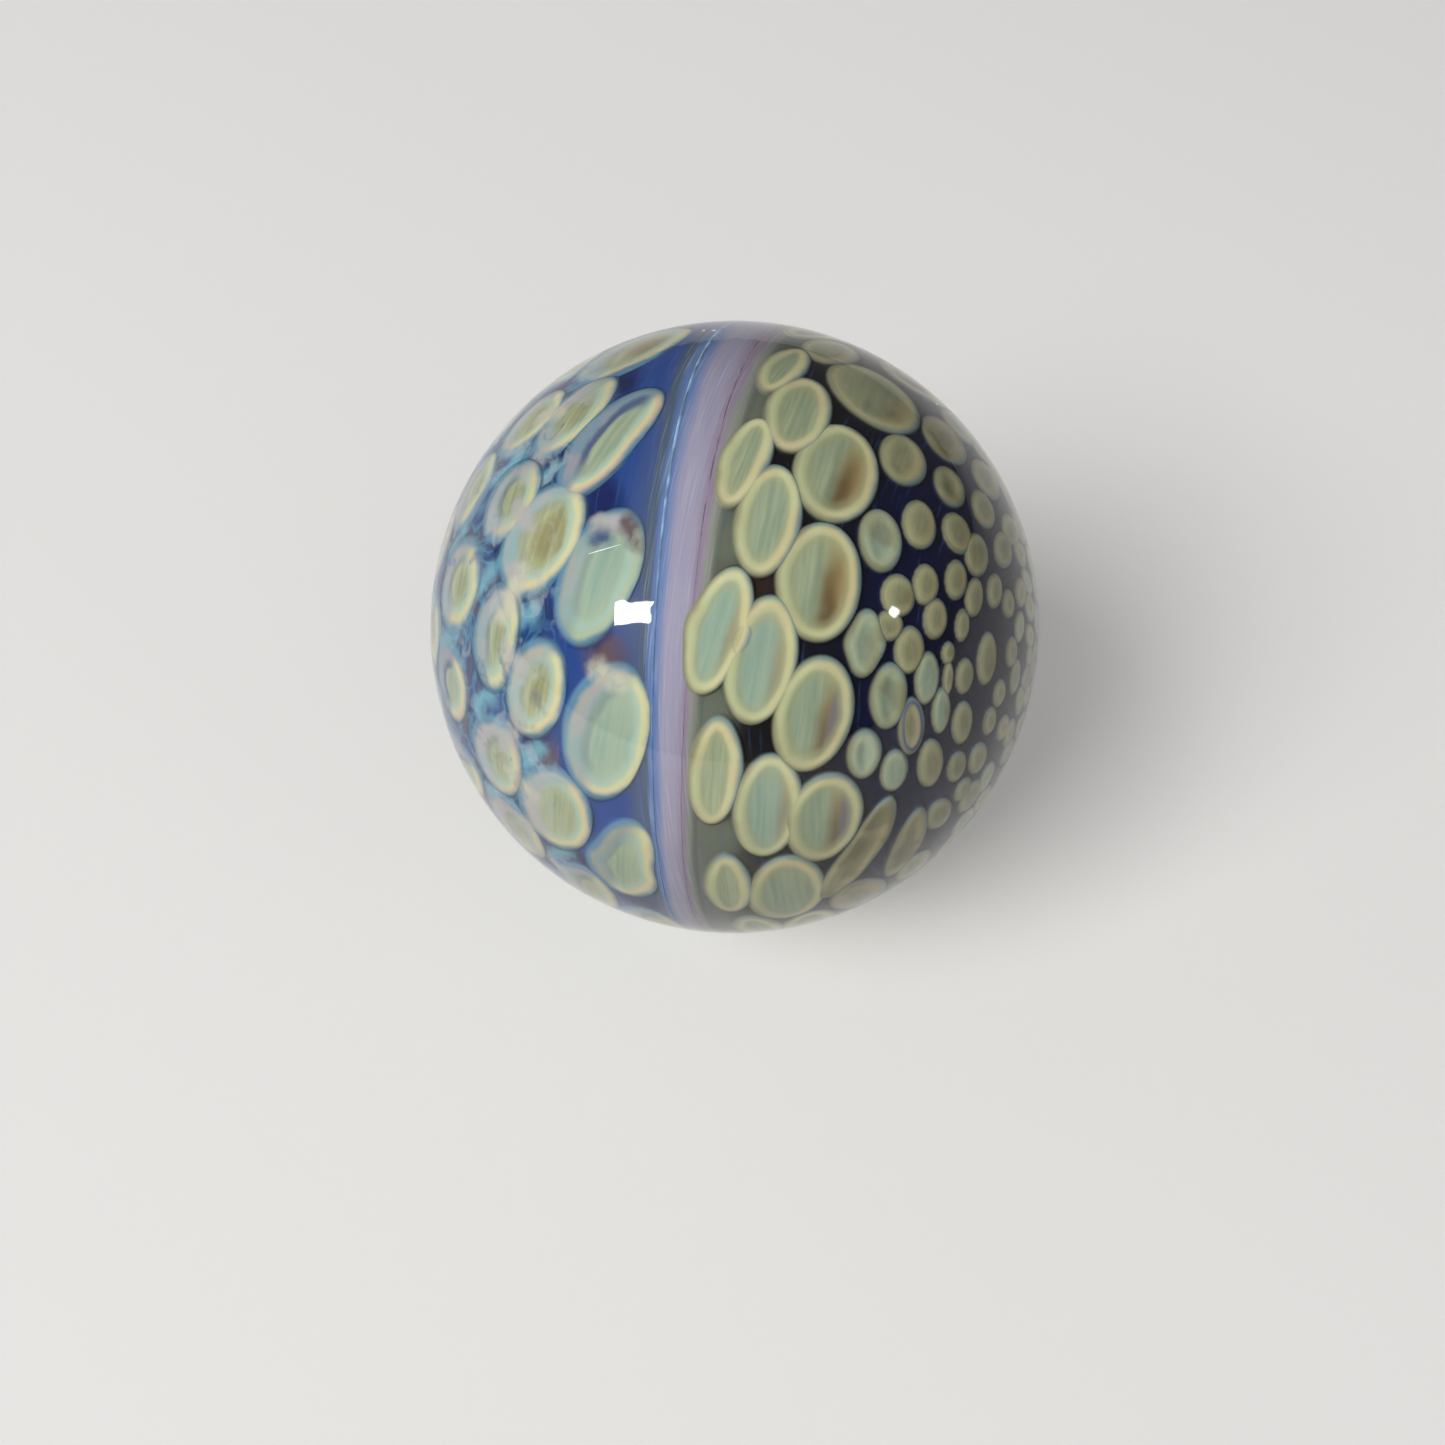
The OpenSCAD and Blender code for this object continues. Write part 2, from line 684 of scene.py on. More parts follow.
def core_radius(latitude):
    """The core's radius at a latitude, in metres."""
    return RADIUS * between(CORE_BELT, latitude)


# %% Spin a section into a ring or a ball
def section_point(latitude, radius):
    """A point of a section in the upright globe's own plane."""
    lat = math.radians(latitude)
    return Vector((radius * math.cos(lat), 0, radius * math.sin(lat)))


def spun(points, steps, closed=False, bowed=False):
    """A mesh made by spinning a row of points round the upright axis, turned into the marble."""
    clear_selection()
    outline = bpy.data.meshes.new("section")
    edges = [(i, i + 1) for i in range(len(points) - 1)]
    if closed:
        edges.append((len(points) - 1, 0))
    outline.from_pydata([tuple(point) for point in points], edges, [])
    piece = bpy.data.objects.new("section", outline)
    bpy.context.scene.collection.objects.link(piece)
    bpy.context.view_layer.objects.active = piece
    piece.select_set(True)
    bpy.ops.object.mode_set(mode="EDIT")
    bpy.ops.mesh.select_all(action="SELECT")
    bpy.ops.mesh.spin(steps=steps, angle=math.tau, center=(0, 0, 0), axis=(0, 0, 1))
    bpy.ops.mesh.select_all(action="SELECT")
    bpy.ops.mesh.remove_doubles(threshold=1e-6)
    bpy.ops.mesh.normals_make_consistent(inside=False)
    bpy.ops.object.mode_set(mode="OBJECT")
    if bowed:
        for vertex in piece.data.vertices:
            longitude = math.degrees(math.atan2(-vertex.co.y, vertex.co.x))
            own_latitude = math.degrees(math.asin(vertex.co.z / vertex.co.length))
            shift = bow(longitude) + own_latitude * widening(longitude)
            across = Vector((vertex.co.y, -vertex.co.x, 0))
            vertex.co.rotate(Matrix.Rotation(math.radians(shift), 3, across))
    piece.data.transform(GLOBE.to_4x4())
    return piece


# %% Cobalt ground glass
def cobalt_ground():
    """Cobalt glass over black, with drawn-out streaks and painted shade in the gaps."""
    direction, latitude, longitude = globe_place()
    colour = ground_colour(direction, latitude, longitude)
    return veil_over(direction, latitude, colour)


# %% Make the core
CORE_RINGS = 90
CORE_STEPS = 160
core_latitudes = [-90 + 180 * i / CORE_RINGS for i in range(CORE_RINGS + 1)]
core = spun([section_point(lat, core_radius(lat)) for lat in core_latitudes], CORE_STEPS)
finish_piece(core, "cobalt_core", glass_of("cobalt_ground_glass", cobalt_ground))

# %% [markdown]
# ## Lilac stripe
# One band of opal lilac glass runs right round the ball. Along one side it is shaded by blue
# and by a slate line. Along the other a thin mauve line and a pale haze fade into the ground. It
# is a low mound on the core, made as a spun section, and its colours run across it.

# %% Lilac opal glass
def lilac_opal():
    """Opal lilac with blue and mauve edges and fine lengthwise streaks."""
    return stripe_over_ground(*globe_place())


# %% Make the stripe
STRIPE_RISE = 0.018 * RADIUS
STRIPE_SINK = 0.008 * RADIUS
STRIPE_RINGS = 26
STRIPE_STEPS = 180
STRIPE_MARGIN = 1


def mound_radius(latitude):
    """The radius of the stripe's low mound at a latitude of its own. Its edges lie in the core."""
    low, high = STRIPE_FROM - STRIPE_MARGIN, STRIPE_TO + STRIPE_MARGIN
    share = min(max((latitude - low) / (high - low), 0), 1)
    return core_radius(latitude) - STRIPE_SINK + STRIPE_RISE * math.sin(math.pi * share) ** 0.6


def stripe_section():
    """The stripe's section, from one edge to the other."""
    points = []
    for i in range(STRIPE_RINGS + 1):
        share = i / STRIPE_RINGS
        lat = STRIPE_FROM - STRIPE_MARGIN + (STRIPE_TO - STRIPE_FROM + 2 * STRIPE_MARGIN) * share
        points.append(section_point(lat, mound_radius(lat)))
    return points


stripe = spun(stripe_section(), STRIPE_STEPS, bowed=True)
finish_piece(stripe, "lilac_stripe", glass_of("lilac_opal_glass", lilac_opal))

# %% [markdown]
# ## Fine threads
# Two hair-thin threads run beside the stripe, a pale blue one in the blue edge, past the
# slate line, and a mauve one where the lilac ends. Each is a small round section spun round the
# axis, with the stripe's own bow.

# %% Make the threads
# Latitude, half the thickness as a share of the radius, and colour.
THREAD_SIDES = 8
THREADS = [
    (-0.5, 0.0035, (150, 182, 208)),
    (6, 0.0016, (150, 132, 148)),
]


def thread_section(latitude, half_thick):
    """A small round section that lies on the stripe."""
    middle = section_point(latitude, mound_radius(latitude))
    points = []
    for i in range(THREAD_SIDES):
        angle = math.tau * i / THREAD_SIDES
        points.append(middle + Vector((math.cos(angle), 0, math.sin(angle))) * half_thick * RADIUS)
    return points


def thread_recipe(colour):
    """The recipe of a thread that is beaded, and fades into the stripe low on the ball."""

    def recipe():
        direction, latitude, longitude = globe_place()
        under = stripe_over_ground(direction, latitude, longitude)
        fading = times(ease(longitude, 24, -10), 0.75)
        beads = clouds(lengthwise(latitude, longitude, 0.4, 2), 1.0, 2.0)
        darker = tuple(int(part * 0.7) for part in colour)
        shades = mix(ease(beads, 0.40, 0.62), darker, colour)
        return mix(fading, shades, under)

    return recipe


for number, (latitude, half_thick, colour) in enumerate(THREADS, 1):
    material = glass_of(f"thread_glass_{number}", thread_recipe(colour))
    thread = spun(thread_section(latitude, half_thick), STRIPE_STEPS, closed=True, bowed=True)
    finish_piece(thread, f"thread_{number}", material)

# %% [markdown]
# ## The dots
# Each dot is a cup. The maker stacks a blob of cream glass and a blob of teal glass on the core
# and pulls them inwards, so that a raised cream rim surrounds a dished middle, and the sides
# fall away into the ground. All dots of a kind share that shape, so one cup is modelled
# as a template and copied for each dot. A dot then differs in its size, its lean and its colours.

# %% Model a cup as a template
EDGE_HEIGHT = 0.9


def cup_template(name, sides, inward, outward_steps):
    """A cup of unit radius with its rim at height 1 and its foot at 0."""
    clear_selection()
    middle = (0, 0, EDGE_HEIGHT)
    bpy.ops.mesh.primitive_circle_add(vertices=sides, radius=1, fill_type="NGON", location=middle)
    cup = bpy.context.object
    bpy.ops.object.transform_apply(location=True, rotation=False, scale=False)
    bpy.ops.object.mode_set(mode="EDIT")
    bpy.ops.mesh.select_mode(type="FACE")
    bpy.ops.mesh.select_all(action="SELECT")
    for thickness, rise in inward:
        bpy.ops.mesh.inset(thickness=thickness, depth=rise)
    bpy.ops.mesh.poke()
    bpy.ops.mesh.select_mode(type="EDGE")
    bpy.ops.mesh.select_all(action="DESELECT")
    bpy.ops.mesh.select_non_manifold(extend=False, use_wire=False, use_multi_face=False)
    for spread, trail, drop in outward_steps:
        bpy.ops.mesh.extrude_region_move(TRANSFORM_OT_translate={"value": (trail, 0, -drop)})
        bpy.ops.transform.resize(value=(spread, spread, 1), center_override=(0, 0, 0))
    bpy.ops.object.mode_set(mode="OBJECT")
    mesh = cup.data
    mesh.name = name
    bpy.data.objects.remove(cup)
    heights = [round(vertex.co.z, 2) for vertex in mesh.vertices]
    print(name, len(mesh.polygons), "faces, from", min(heights), "to", max(heights))
    return mesh


# %% Three cups
ringed_cup = cup_template(
    "ringed_cup",
    40,
    [(0.06, 0.06), (0.08, 0.04), (0.08, 0.00), (0.08, -0.03), (0.08, -0.05),
     (0.16, -0.06), (0.18, -0.03), (0.14, -0.01)],
    [(1.04, 0, 0.06), (1.04, 0, 0.18), (1.04, 0, 0.30), (1.04, 0, 0.24), (1.05, 0, 0.12)],
)
broad_cup = cup_template(
    "broad_cup",
    44,
    [(0.06, 0.06), (0.07, 0.04), (0.07, 0.00), (0.08, -0.03), (0.10, -0.05),
     (0.14, -0.06), (0.18, -0.03), (0.14, -0.01)],
    [(1.04, -0.02, 0.06), (1.05, -0.04, 0.18), (1.05, -0.05, 0.30), (1.05, -0.04, 0.24),
     (1.05, -0.02, 0.12)],
)
fine_cup = cup_template(
    "fine_cup",
    14,
    [(0.20, 0.10), (0.40, -0.02)],
    [(1.12, 0, 0.40), (1.12, 0, 0.50)],
)

# %% [markdown]
# ## Looks of a dot
# The dots are not alike. A dot's look says, from 0 to 1, how olive its middle is, how strong its
# brown is (on ringed dots the inner wall, partly painted shade; on broad dots a blot in the
# middle), how much peach its rim has, how strong the painted slate shadow beside its middle and
# the milky veil on the side away from the stripe are, and how clear its ring is.

# %% Named looks
BROAD_LOOKS = {
    "teal": (0.05, 0.00, 0.15, 0.35, 0.45, 0.95),
    "pool": (0.00, 0.00, 0.10, 0.30, 0.35, 0.15),
    "sea": (0.40, 0.10, 0.95, 0.90, 0.60, 1.00),
    "horn": (0.35, 0.00, 0.20, 0.40, 0.10, 1.00),
    "olive": (0.75, 0.25, 0.20, 0.50, 0.60, 0.80),
    "cream": (0.90, 0.45, 0.10, 0.20, 0.45, 1.00),
    "milky": (0.85, 0.15, 0.40, 0.15, 0.75, 0.85),
    "grain": (0.70, 0.05, 0.50, 0.00, 0.80, 1.00),
    "ochre": (1.00, 0.90, 0.20, 0.20, 0.85, 1.00),
    "rose": (0.60, 0.60, 0.90, 0.30, 0.80, 0.75),
}
RINGED_LOOKS = {
    "cream": (0.60, 0.05, 0.35, 0.00, 0.00, 1.00),
    "sage": (0.40, 0.10, 0.15, 0.00, 0.00, 0.95),
    "teal": (0.05, 0.40, 0.10, 0.00, 0.00, 0.95),
    "brown": (0.50, 1.00, 0.10, 0.00, 0.00, 1.00),
    "split": (0.35, 0.85, 0.10, 1.00, 0.00, 1.00),
    "musty": (0.60, 0.45, 0.30, 0.00, 0.00, 0.38),
    "pearl": (0.20, 0.15, 0.00, 0.00, 0.00, 0.32),
    "dim": (0.65, 0.35, 0.10, 0.00, 0.00, 0.30),
    "smoky": (0.85, 0.45, 0.20, 0.00, 0.00, 0.12),
    "blue": (0.80, 0.60, 0.10, 1.00, 0.00, 0.20),
}

# %% [markdown]
# ## The side that faces away
# Round the back the dots go on in the same rows, at the mean latitude and the mean size of the
# row's front. The dots are spread evenly, a fixed seed shifts each a little, as a hand does, and
# one that would fall on another dot is left out. The fine dots keep to rows only here, and those
# rows and dots grow smaller towards the pole by a rule.

# %% Carry the rows round the back
chance = random.Random(38)
CLEAR_OF = 0.80
BROAD_DOTS = [dot for row in BROAD_ROWS for dot in row]
RINGED_DOTS = [dot for row in RINGED_ROWS for dot in row]
FINE_DOTS = []
for latitude, longitude, wide, high, *named in FINE_FRONT:
    size = (wide * FINE_GROWTH, high * FINE_GROWTH)
    FINE_DOTS.append((latitude, longitude, *size, 0, *(named or ["dim"])))


def crowded(dot):
    """True where a dot would lie on top of one that is there already."""
    for other in BROAD_DOTS + RINGED_DOTS + FINE_DOTS:
        apart = (dot[1] - other[1] + 180) % 360 - 180
        beside = (dot[0] - other[0]) / (dot[2] + other[2])
        beyond = apart / (dot[3] + other[3])
        if math.hypot(beside, beyond) < CLEAR_OF:
            return True
    return False


def carry_on(table, size, last, first, spacing, looks):
    """Add dots of one row between the front's last longitude and its first, a full turn on."""
    latitude, half_wide, half_high = size
    room = first + 360 - last
    count = round(room / (spacing * half_high)) - 1
    for i in range(count):
        shift = chance.uniform(-1.5, 1.5) / math.cos(math.radians(latitude))
        longitude = last + room * (i + 1) / (count + 1) + shift
        growth = chance.uniform(0.88, 1.08)
        lean = chance.uniform(-0.1, 0.35)
        place = (latitude + chance.uniform(-1, 1), longitude)
        dot = (*place, half_wide * growth, half_high * growth, lean, chance.choice(looks))
        if not crowded(dot):
            table.append(dot)


def mean_size(row):
    """The mean latitude, half width and half height of a row."""
    return [sum(dot[i] for dot in row) / len(row) for i in (0, 2, 3)]


BROAD_SPACING = 2.7
RINGED_SPACING = 2.3
for row in BROAD_ROWS[:-1]:
    looks = ["teal", "sea", "olive", "cream", "ochre", "olive"]
    carry_on(BROAD_DOTS, mean_size(row), row[-1][1], row[0][1], BROAD_SPACING, looks)
for row, looks in zip(RINGED_ROWS, (
    ["cream", "sage", "teal"],
    ["sage", "teal", "brown", "cream"],
    ["brown", "brown", "split", "sage"],
    ["dim", "pearl", "pearl", "dim"],
)):
    carry_on(RINGED_DOTS, mean_size(row), row[-1][1], row[0][1], RINGED_SPACING, looks)

# %% Fine rows on the far side
# Most rows leave the front to its own fine dots. The last two run right round.
FINE_ROWS = 8
FINE_FIRST = 50
FINE_PITCH = 5.2
FINE_EDGE = 62
FINE_SPACING = 2.0
FINE_WIDEST = 3.4
FINE_SHRINK = 0.2
FINE_OVAL = 1.35
PARTIAL_ROWS = 6
for i in range(FINE_ROWS):
    latitude = FINE_FIRST + FINE_PITCH * i
    half_wide = FINE_WIDEST - FINE_SHRINK * i
    half_high = FINE_OVAL * half_wide / math.cos(math.radians(latitude))
    edge = FINE_EDGE if i < PARTIAL_ROWS else 0
    looks = ["dim", "dim", "smoky", "pearl"]
    carry_on(FINE_DOTS, (latitude, half_wide, half_high), edge, -edge, FINE_SPACING, looks)
print(len(BROAD_DOTS), "broad,", len(RINGED_DOTS), "ringed and", len(FINE_DOTS), "fine dots")

# %% [markdown]
# ## A dot's outline
# A dot is an oval, perhaps leaning and a little uneven. Where neighbours are close they lap over
# one another, and each lies in a slightly different layer.

# %% One dot
class Dot:
    """One dot: its place, its own axes along the surface and its size in degrees of arc."""

    SMALLEST_MIDDLE = 0.42

    def __init__(self, place, look, layer, corners=(0, 0, 0)):
        latitude, longitude, half_wide, half_high, lean = place
        self.latitude = latitude
        self.up = outward(latitude, longitude)
        self.east = eastward(longitude)
        self.pole = poleward(latitude, longitude)
        self.wide = half_wide
        self.high = half_high
        if abs(latitude) < 90:
            self.high *= math.cos(math.radians(latitude))
        self.lean = lean
        self.look = look
        self.layer = layer
        self.corners = corners
        self.waves = [(2, chance.uniform(0, 0.02)), (3, chance.uniform(0, 0.02))]
        self.phase = chance.uniform(0, math.tau)

    def angle_of(self, turn):
        """The angle, from the way to the pole, of the outline's point that is a turn round it."""
        sideways = self.high * math.sin(turn)
        return math.atan2(sideways, self.wide * math.cos(turn) + self.lean * sideways)

    def oval(self, angle, less=0.0):
        """The oval's reach at an angle from the way to the pole, or that of one set inside it."""
        wide = max(self.wide - less, self.SMALLEST_MIDDLE * self.wide)
        high = max(self.high - less, self.SMALLEST_MIDDLE * self.high)
        across = (math.cos(angle) - self.lean * math.sin(angle)) / wide
        uneven = 1
        for turns, size in self.waves:
            uneven += size * math.sin(turns * (angle + self.phase))
        count, stand, first = self.corners
        uneven += stand * math.cos(count * (angle - math.radians(first)))
        return uneven / math.hypot(across, math.sin(angle) / high)


def dots_of(table, looks):
    """The dots of a table. Dots next to each other in it lie in different layers."""
    dots = []
    for i, entry in enumerate(table):
        corners = entry[6:] or (0, 0, 0)
        dots.append(Dot(entry[:5], looks[entry[5]], i % 5, corners))
    return dots


broad = dots_of(BROAD_DOTS, BROAD_LOOKS)
ringed = dots_of(RINGED_DOTS, RINGED_LOOKS)
fine = dots_of(FINE_DOTS, RINGED_LOOKS)


# %% [markdown]
# ## Lay the cups on the core
# A copy of the template is wrapped onto the globe: its flat plan becomes directions from the
# middle of the ball, and its height becomes the distance from there. The plan is also kept on
# the mesh under the name "cup", so that a material knows which part of the cup it paints, and
# the look is kept under "look" and "wall".

# %% Copy, wrap and join
INNER_WALL = 0.64
LAYER_STEP = 0.0010 * RADIUS
FOOT_SINK = 0.004 * RADIUS


def reach_on_globe(dot, share, angle, ring, flare):
    """How far out a part of the cup lies, in degrees.

    Blobs of cream glass of one size leave rings of one width, whatever the size of the dot, so
    the ring is ring degrees wide and only the middle stretches."""
    outer = dot.oval(angle)
    inner = dot.oval(angle, ring)
    if share > 1:
        return outer + (share - 1) * flare
    if share > INNER_WALL:
        return outer - (outer - inner) * (1 - share) / (1 - INNER_WALL)
    return inner * share / INNER_WALL


def lay_cup(template, dot, rim, ring, flare):
    """A copy of the template, wrapped onto the globe at a dot's place."""
    mesh = template.copy()
    for name in ("cup", "look", "wall"):
        mesh.attributes.new(name, "FLOAT_VECTOR", "POINT")
    plan, look, wall = (mesh.attributes[name] for name in ("cup", "look", "wall"))
    foot = core_radius(dot.latitude) - FOOT_SINK
    top = rim + LAYER_STEP * dot.layer
    for i, vertex in enumerate(mesh.vertices):
        x, y, height = vertex.co
        angle = dot.angle_of(math.atan2(y, x))
        gone = math.radians(reach_on_globe(dot, math.hypot(x, y), angle, ring, flare))
        side = dot.pole * math.cos(angle) + dot.east * math.sin(angle)
        way = dot.up * math.cos(gone) + side * math.sin(gone)
        plan.data[i].vector = (x, y, height)
        look.data[i].vector = dot.look[:3]
        wall.data[i].vector = dot.look[3:]
        vertex.co = way * (foot + (top - foot) * height)
    piece = bpy.data.objects.new("dot", mesh)
    bpy.context.scene.collection.objects.link(piece)
    return piece


def join_dots(template, dots, build, name, material):
    """All dots of one kind as one piece."""
    clear_selection()
    rim_share, ring, flare = build
    pieces = [lay_cup(template, dot, rim_share * RADIUS, ring, flare) for dot in dots]
    for piece in pieces:
        piece.select_set(True)
    bpy.context.view_layer.objects.active = pieces[0]
    bpy.ops.object.join()
    return finish_piece(pieces[0], name, material)


# %% [markdown]
# ## Dot glass
# A cream ring surrounds a teal or olive middle. The ring's outer edge turns blue-green where it
# thins out over the cobalt. On the lobe of ringed dots the inner wall that faces the stripe is
# brown: the core showing through, with painted shade over it, darkest at the wall's low end.
# On the lobe of broad dots a painted slate-blue shadow lies on the wall away from the stripe,
# and a milky veil of thinned glass lies beyond it. Dim dots get painted shade in their middle.

# %% Parts that both dot glasses share
CREAM = (190, 190, 146)
WARM_CREAM = (190, 180, 138)
PEACH = (192, 166, 136)
TEAL = (134, 156, 140)
OLIVE = (146, 148, 108)


def length_of(x, y):
    """The length of a flat vector."""
    square = calc("ADD", calc("POWER", x, 2.0), calc("POWER", y, 2.0))
    return calc("SQRT", square)


def cup_place():
    """Where on its cup the shaded point lies, and how far out it is."""
    x, y = parts(own_value("cup"))[:2]
    return x, y, length_of(x, y)


def middle_colour(x, y, olive):
    """The middle of a cup, with fine streaks drawn across it."""
    drawn_out, across = times(y, 0.6), times(x, 6.0)
    pairs = (("X", across), ("Y", drawn_out), ("Z", olive))
    drawn = node("ShaderNodeCombineXYZ", pairs).outputs["Vector"]
    position = object_place()
    vector = turn_into("MULTIPLY_ADD", position, (55, 55, 55), drawn)
    streak = clouds(vector, 1.0, 3.0)
    base = mix(olive, TEAL, OLIVE)
    strength = calc("MULTIPLY_ADD", olive, 0.35, 0.2)
    pale = times(ease(streak, 0.46, 0.66), strength)
    base = mix(pale, base, (170, 174, 140))
    deep = times(ease(streak, 0.50, 0.32), strength)
    return mix(deep, base, mix(olive, (96, 132, 118), (118, 124, 88)))


# %% Ringed dot glass
# The brown of the inner wall, partly painted shade, from its low end to its high end.
BROWN_WALL_SHADE_STOPS = [
    (-0.6, (96, 74, 44)),
    (-0.2, (100, 78, 46)),
    (0.15, (126, 106, 68)),
    (0.5, (152, 144, 102)),
]


def ringed_glass():
    """Cream ring, pale green middle, brown inner wall partly painted shade, painted slate shade."""
    position = object_place()
    x, y, distance = cup_place()
    olive, brown, peach = parts(own_value("look"))
    slate, _, ring = parts(own_value("wall"))
    uneven = clouds(position, 420.0, 2.0)
    spread = calc("MULTIPLY_ADD", uneven, 0.24, -0.12)
    out = calc("ADD", distance, spread)
    middle = middle_colour(x, y, olive)
    aslant = calc("ADD", calc("MULTIPLY_ADD", y, -0.12, x), spread)
    # Painted shade: the brown inner wall, darkest at its low end.
    onset = calc("MULTIPLY_ADD", brown, 0.4, calc("SUBTRACT", aslant, 0.4))
    wall = times(ease(onset, -0.14, 0.24), brown, 0.92)
    middle = mix(wall, middle, ramp(y, -0.7, 0.7, BROWN_WALL_SHADE_STOPS))
    tan = times(ease(aslant, 0.26, 0.56), ease(brown, 0.1, 0.6), 0.7)
    middle = mix(tan, middle, (158, 138, 96))
    # Painted slate shade over the inner wall, on the dots that have it.
    shade = times(ease(aslant, 0.28, 0.44), slate, 0.85)
    middle = mix(shade, middle, (112, 108, 116))
    rim = mix(ease(uneven, 0.44, 0.64), CREAM, WARM_CREAM)
    shy = ease(calc("MULTIPLY_ADD", y, 0.45, x), 0.15, -0.75)
    rim = mix(times(shy, 0.55), rim, (150, 158, 120))
    rim = mix(times(ease(y, -0.40, -0.90), peach), rim, PEACH)
    ring_share = times(ease(out, 0.45, 0.83), ease(ring, 0.0, 0.6))
    colour = mix(ring_share, middle, rim)
    inside, outside = ease(out, 0.48, 0.58), ease(out, 0.70, 0.62)
    ring_line = times(outside, inside, ease(ring, 0.4, 0.8), 0.25)
    colour = mix(ring_line, colour, (122, 132, 96))
    dull = ease(ring, 0.6, 0.1)
    pale_dot = mix(ease(olive, 0.2, 0.6), (156, 172, 152), (162, 154, 116))
    mottle = mix(ease(uneven, 0.34, 0.52), (120, 110, 80), pale_dot)
    colour = mix(times(dull, 0.7), colour, mottle)
    # Painted shade: dim dots are darker in the middle of their cup.
    hollow_shade = times(ease(out, 0.62, 0.30), dull, ease(olive, 0.4, 0.7), 0.45)
    colour = mix(hollow_shade, colour, (112, 106, 80))
    blue_line = times(slate, dull, ease(out, 0.78, 0.92))
    colour = mix(blue_line, colour, (48, 62, 126))
    cool = ease(calc("MULTIPLY_ADD", y, 0.5, x), -0.4, 0.6)
    fringe = mix(cool, (124, 124, 98), (118, 140, 138))
    colour = mix(ease(out, 0.84, 1.06), colour, fringe)
    foot = stripe_over_ground(*globe_place())
    return mix(ease(distance, 1.02, 1.13), colour, foot)


# %% Broad dot glass
def broad_glass():
    """A clear ring on one side, and a painted slate shadow and a milky veil on the other."""
    direction, latitude, longitude = globe_place()
    position = object_place()
    x, y, distance = cup_place()
    olive, brown, peach = parts(own_value("look"))
    slate, veil, ring = parts(own_value("wall"))
    uneven = clouds(position, 330.0, 3.0)
    spread = calc("MULTIPLY_ADD", uneven, 0.44, -0.22)
    out = calc("ADD", distance, spread)
    off_middle = calc("SUBTRACT", x, times(veil, 0.30))
    inner = calc("ADD", length_of(off_middle, y), spread)
    aslant = calc("ADD", calc("MULTIPLY_ADD", y, -0.35, off_middle), spread)
    behind = ease(aslant, 0.10, -0.40)
    middle = middle_colour(x, y, olive)
    blot = times(clouds(position, 300.0, 1.0), ease(inner, 0.50, 0.10), brown)
    middle = mix(blot, middle, (110, 86, 46))
    lighter = times(ease(inner, 0.25, 0.60), 0.35)
    middle = mix(lighter, middle, (166, 174, 142))
    rim = mix(ease(uneven, 0.42, 0.60), CREAM, WARM_CREAM)
    rim = mix(times(ease(distance, 0.80, 0.92), peach), rim, PEACH)
    weaker_behind = calc("MULTIPLY_ADD", behind, -0.6, 1.0)
    ring_share = times(ease(out, 0.56, 0.80), ring, weaker_behind)
    colour = mix(ring_share, middle, rim)
    inner_line = times(ease(out, 0.50, 0.64), ease(out, 0.82, 0.68), 0.55)
    colour = mix(inner_line, colour, (148, 176, 166))
    # Painted shadow: a slate arc inside the wall away from the stripe.
    slate_shadow_arc = times(behind, slate, ease(inner, 0.42, 0.56))
    colour = mix(slate_shadow_arc, colour, (58, 74, 112))
    milk = mix(ease(uneven, 0.42, 0.58), (132, 156, 160), (164, 156, 158))
    film = times(behind, veil, ease(inner, 0.62, 0.82))
    colour = mix(film, colour, milk)
    foot = ground_colour(direction, latitude, longitude)
    edge = mix(0.4, (104, 146, 160), foot)
    colour = mix(ease(out, 0.86, 1.06), colour, edge)
    colour = mix(ease(distance, 1.05, 1.18), colour, foot)
    return veil_over(direction, latitude, colour)


# %% Make the dots
# The rim's radius as a share of the ball's, and the ring's width and the foot's flare in degrees.
BROAD_BUILD = (0.913, 2.8, 9.0)
RINGED_BUILD = (0.916, 2.1, 6.5)
FINE_BUILD = (0.913, 1.2, 5.0)
ringed_material = glass_of("ringed_dot_glass", ringed_glass)
join_dots(broad_cup, broad, BROAD_BUILD, "broad_dots", glass_of("broad_dot_glass", broad_glass))
join_dots(ringed_cup, ringed, RINGED_BUILD, "ringed_dots", ringed_material)
join_dots(fine_cup, fine, FINE_BUILD, "fine_dots", ringed_material)
for spare in (ringed_cup, broad_cup, fine_cup):
    bpy.data.meshes.remove(spare)

# %% [markdown]
# ## Trapped air
# Melted glass keeps a few tiny bubbles just under the skin, which show as bright specks. Four are
# listed, and a fixed seed scatters more along the rim and over the far side. One more, near the
# stripe, has been drawn out into a hair.

# %% Make the bubbles
# Latitude, longitude and half the width in millimetres. Depths are shares of the radius.
BUBBLES = [
    (-5, 66, 0.10),
    (-3, 66, 0.14),
    (17, 83, 0.14),
    (39, 79, 0.12),
]
air = random.Random(5)
for i in range(10):
    BUBBLES.append((air.uniform(-50, 50), air.uniform(75, 285), air.uniform(0.07, 0.13)))
BUBBLE_DEPTH = 0.968
DRAWN_DEPTH = 0.988
DRAWN_FROM = (-11, 8)
DRAWN_TO = (-5, 10)
DRAWN_HALF_THICK = 0.028


def air_glass():
    """The bright inside of a bubble."""
    light = ease(clouds(object_place(), 900.0, 1.0), 0.3, 0.6)
    return mix(light, (190, 198, 206), (236, 238, 238))


bubbles = []
for latitude, longitude, half_size in BUBBLES:
    clear_selection()
    place = outward(latitude, longitude) * BUBBLE_DEPTH * RADIUS
    bpy.ops.mesh.primitive_ico_sphere_add(subdivisions=2, radius=half_size / 1000, location=place)
    bpy.ops.object.transform_apply(location=True, rotation=False, scale=False)
    bubbles.append(bpy.context.object)

